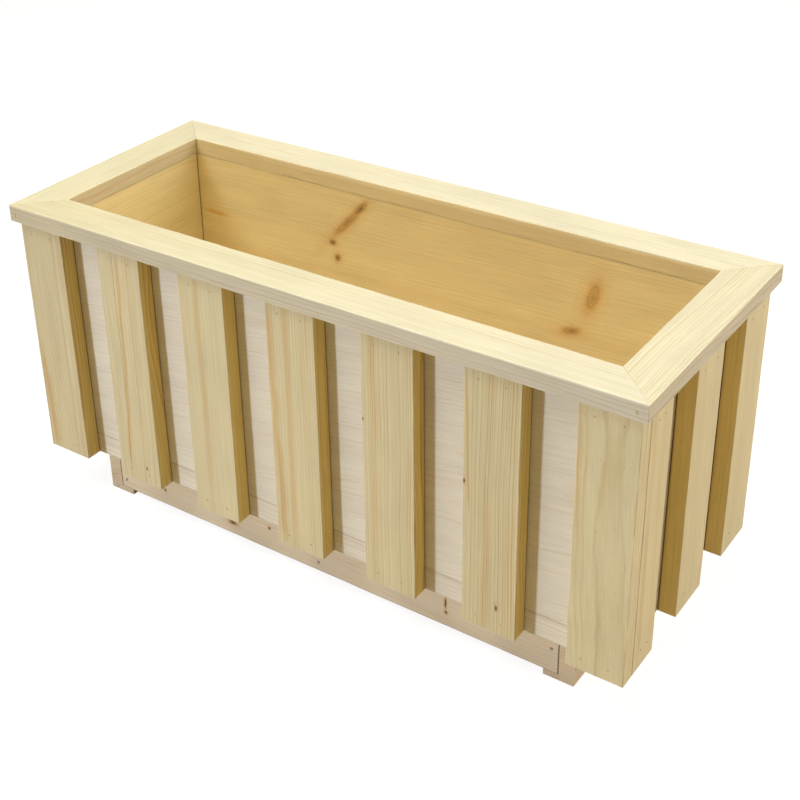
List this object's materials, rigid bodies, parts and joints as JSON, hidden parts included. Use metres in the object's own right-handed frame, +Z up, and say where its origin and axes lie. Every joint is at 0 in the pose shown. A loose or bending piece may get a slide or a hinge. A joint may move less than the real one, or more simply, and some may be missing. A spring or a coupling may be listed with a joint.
{
  "type": "window box planter",
  "caption": "Long open-topped wooden planter: horizontal board walls, upright slats with gaps outside, flat mitred rim, set-back plinth on two foot cleats.",
  "frame": {"origin": "on the ground, under the middle of the box", "axes": "+X along the box to the right, +Y from front to back, +Z up"},
  "size_m": [0.8, 0.322, 0.3875],
  "materials": {
    "rim_pine": "planed pine, no finish",
    "slat_pine": "planed pine, no finish",
    "wall_pine": "planed pine, no finish",
    "base_pine": "planed pine, no finish",
    "steel_nails": "dull steel"
  },
  "bodies": {
    "root": {"back_slat_1": "slat_pine", "back_slat_2": "slat_pine", "back_slat_3": "slat_pine", "back_slat_4": "slat_pine", "back_slat_5": "slat_pine", "back_slat_6": "slat_pine", "back_slat_7": "slat_pine", "back_slat_pins": "steel_nails", "back_wall_board": "wall_pine", "back_wall_strip": "wall_pine", "bearer_left": "base_pine", "bearer_middle": "base_pine", "bearer_right": "base_pine", "floor_board_1": "base_pine", "floor_board_2": "base_pine", "floor_board_3": "base_pine", "floor_nails": "steel_nails", "foot_left": "base_pine", "foot_nails": "steel_nails", "foot_right": "base_pine", "front_slat_1": "slat_pine", "front_slat_2": "slat_pine", "front_slat_3": "slat_pine", "front_slat_4": "slat_pine", "front_slat_5": "slat_pine", "front_slat_6": "slat_pine", "front_slat_7": "slat_pine", "front_slat_pins": "steel_nails", "front_wall_board": "wall_pine", "front_wall_strip": "wall_pine", "left_slat_1": "slat_pine", "left_slat_2": "slat_pine", "left_slat_3": "slat_pine", "left_slat_pins": "steel_nails", "left_wall_board": "wall_pine", "left_wall_strip": "wall_pine", "plinth_back": "base_pine", "plinth_front": "base_pine", "plinth_left": "base_pine", "plinth_nails": "steel_nails", "plinth_right": "base_pine", "plinth_side_nails": "steel_nails", "right_slat_1": "slat_pine", "right_slat_2": "slat_pine", "right_slat_3": "slat_pine", "right_slat_pins": "steel_nails", "right_wall_board": "wall_pine", "right_wall_strip": "wall_pine", "rim_back": "rim_pine", "rim_front": "rim_pine", "rim_left": "rim_pine", "rim_nails": "steel_nails", "rim_right": "rim_pine", "wall_nails": "steel_nails"}
  },
  "joints": []
}
